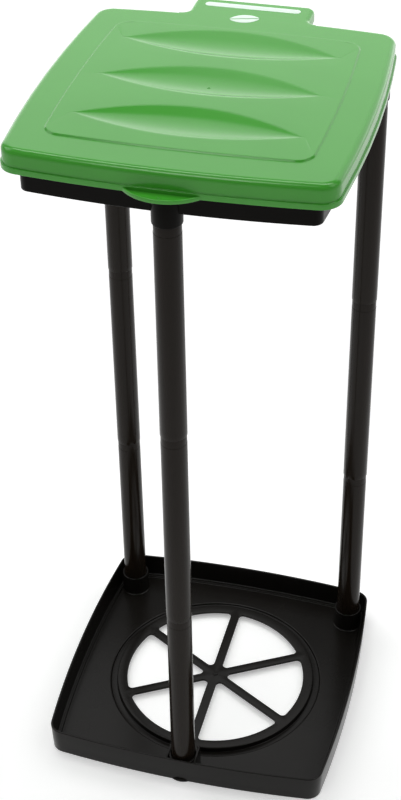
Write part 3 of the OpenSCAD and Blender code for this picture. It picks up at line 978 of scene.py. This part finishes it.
@dataclass
class Marks:
    """Plain printed shapes on the lid: a rounded bar and a two-part leaf."""

    z: float = 808.46
    thick: float = 0.14
    bar_half: float = 51.0
    bar_r: float = 4.8
    bar_y: float = 189.0
    leaf: tuple[float, float] = (-2.0, 160.0)
    leaf_r: float = 18.5
    leaf_sag: float = 10.0
    leaf_gap: float = 0.8
    leaf_turn: float = 14.0

    def make(self) -> None:
        """Builds and dresses the marks."""
        bar = np.vstack([arc((self.bar_half - self.bar_r, self.bar_y), self.bar_r, -90, 90, 16),
                         arc((self.bar_r - self.bar_half, self.bar_y), self.bar_r, 90, 270, 16)])
        surface = Surface()
        prism(surface, bar, self.z, self.z + self.thick, 0.05, flat_space)
        blade = arc((0, -self.leaf_sag), self.leaf_r, 33, 147, 32) + [0, self.leaf_gap]
        a = math.radians(self.leaf_turn)
        spin = np.array([[math.cos(a), math.sin(a)], [-math.sin(a), math.cos(a)]])
        for half in (blade, (blade * [1, -1])[::-1]):
            prism(surface, half @ spin + self.leaf, self.z, self.z + self.thick + 0.04, 0.05, flat_space)
        piece = surface.build("lid_marks")
        piece.data.materials.clear()
        piece.data.materials.append(MARK_WHITE.material())
        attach(piece, "lid")


# ---------------------------------------------------------------- studio


@dataclass(frozen=True)
class Softbox:
    """A rectangular light at a place, turned to an aim, in metres and watts."""

    name: str
    place: tuple[float, float, float]
    aim: tuple[float, float, float]
    size: tuple[float, float]
    power: float

    def make(self) -> None:
        """Sets up the light, unseen by the camera."""
        light = bpy.data.lights.new(self.name, "AREA")
        light.shape, light.size, light.size_y, light.energy = "RECTANGLE", *self.size, self.power
        obj = bpy.data.objects.new(self.name, light)
        bpy.context.scene.collection.objects.link(obj)
        obj.location = self.place
        obj.visible_camera = False
        obj.rotation_euler = (Vector(self.aim) - Vector(self.place)).to_track_quat("-Z", "Y").to_euler()


@dataclass
class Studio:
    """Pale floor, soft sky that is brighter behind the object, softboxes and the camera."""

    floor_half: float = 9.0
    glow: float = 0.34
    glow_rise: float = 0.3
    lights: tuple[Softbox, ...] = (
        Softbox("back_light", (-0.15, 0.62, 1.09), (-0.15, 0.0, 1.065), (1.8, 0.84), 5.8),
        Softbox("top_light", (0.0, 0.5, 3.0), (0, 0, 0.8), (2.6, 0.7), 30),
        Softbox("front_light", (-0.6, -1.6, 3.2), (0, 0, 0.6), (1.0, 1.0), 14),
        Softbox("left_light", (-2.4, 0.0, 2.7), (0, 0, 0.5), (1.7, 1.7), 17),
        Softbox("right_light", (2.4, 0.0, 2.7), (0, 0, 0.5), (1.7, 1.7), 11),
    )
    lens: float = 50.41
    shift: tuple[float, float] = (0.00577, 0.00461)
    eye: tuple[float, float, float] = (0.37320, -1.41820, 1.53627)

    def floor(self) -> None:
        """A wide pale floor with a faint unevenness, which glows more towards the back."""
        r = self.floor_half / MM
        t = np.linspace(-r, r, 33)
        x, y = np.meshgrid(t, t)
        obj = Surface().grid(np.stack([x, y, np.full_like(x, -0.05)], -1)).build("studio_floor")
        paint = Moulding("studio_floor", (0.93, 0.93, 0.93), (0.95, 0.95, 0.95), gloss=0.6, flow_mm=400.0,
                         flow=0.0, grain_mm=3.0, grain=0.02, specular=0.2)
        lit = paint.material()
        shader = lit.node_tree.nodes["Principled BSDF"]
        shader.inputs["Emission Color"].default_value = (1, 1, 1, 1)
        where = lit.node_tree.nodes.new("ShaderNodeTexCoord")
        split = lit.node_tree.nodes.new("ShaderNodeSeparateXYZ")
        lit.node_tree.links.new(where.outputs["Object"], split.inputs["Vector"])
        far = self.ramp(lit.node_tree, split.outputs["Y"], ((0.2, self.glow), (2.0, self.glow + self.glow_rise)))
        lit.node_tree.links.new(far, shader.inputs["Emission Strength"])
        obj.data.materials.clear()
        obj.data.materials.append(lit)

    def sky(self) -> None:
        """World light: a ramp from horizon to zenith, times a ramp from front to back."""
        world = bpy.data.worlds.new("studio")
        bpy.context.scene.world = world
        world.use_nodes = True
        tree = world.node_tree
        shade = tree.nodes["Background"]
        where = tree.nodes.new("ShaderNodeTexCoord")
        split = tree.nodes.new("ShaderNodeSeparateXYZ")
        tree.links.new(where.outputs["Generated"], split.inputs["Vector"])
        up = self.ramp(tree, split.outputs["Z"], ((0.0, 0.9), (0.12, 0.35), (0.7, 0.25), (1.0, 0.2)))
        back = self.ramp(tree, split.outputs["Y"], ((-1.0, 0.6), (-0.2, 0.8), (0.5, 1.0), (1.0, 1.1)))
        times = tree.nodes.new("ShaderNodeMath")
        times.operation = "MULTIPLY"
        tree.links.new(up, times.inputs[0])
        tree.links.new(back, times.inputs[1])
        tree.links.new(times.outputs[0], shade.inputs["Strength"])
        shade.inputs["Color"].default_value = (1, 1, 1, 1)

    @staticmethod
    def ramp(tree: bpy.types.NodeTree, value: bpy.types.NodeSocket, stops: tuple) -> bpy.types.NodeSocket:
        """A curve through (value, result) stops, as linked map ranges added up.

        Args:
            tree: Where the nodes go.
            value: What the curve is read at.
            stops: Two stops or more, by rising value.

        Returns:
            The curve's result.
        """
        total = None
        for (a, low), (b, high) in zip(stops[:-1], stops[1:]):
            piece = tree.nodes.new("ShaderNodeMapRange")
            first = total is None
            for name, number in (("From Min", a), ("From Max", b), ("To Min", low if first else 0.0),
                                 ("To Max", high if first else high - low)):
                piece.inputs[name].default_value = number
            tree.links.new(value, piece.inputs["Value"])
            if first:
                total = piece.outputs["Result"]
                continue
            plus = tree.nodes.new("ShaderNodeMath")
            tree.links.new(total, plus.inputs[0])
            tree.links.new(piece.outputs["Result"], plus.inputs[1])
            total = plus.outputs[0]
        return total

    def camera(self) -> None:
        """The camera, by its place and the directions of its right, up and back axes."""
        data = bpy.data.cameras.new("camera")
        data.sensor_fit, data.sensor_height, data.lens = "VERTICAL", 24.0, self.lens
        data.shift_x, data.shift_y = self.shift
        obj = bpy.data.objects.new("camera", data)
        bpy.context.scene.collection.objects.link(obj)
        right, up, back = ((0.96696858, 0.25440736, -0.01576895), (-0.14111233, 0.58581572, 0.7980647),
                           (0.21227123, -0.76947829, 0.6023654))
        obj.matrix_world = Matrix.Translation(self.eye) @ Matrix(
            (right, up, back)).transposed().to_4x4()
        bpy.context.scene.camera = obj

    def make(self) -> None:
        """Sets the whole studio."""
        self.floor()
        self.sky()
        for light in self.lights:
            light.make()
        self.camera()
        bpy.context.scene.view_settings.view_transform = "Standard"


def main() -> None:
    """Builds every piece, then the studio."""
    logging.basicConfig(level=logging.INFO, format="%(name)s: %(message)s")
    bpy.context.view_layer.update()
    for maker in (BaseTray(), LegStack(), TopFrame(), Lid(), Marks(), Studio()):
        maker.make()
        log.info("%s done", type(maker).__name__)


if __name__ == "__main__":
    main()
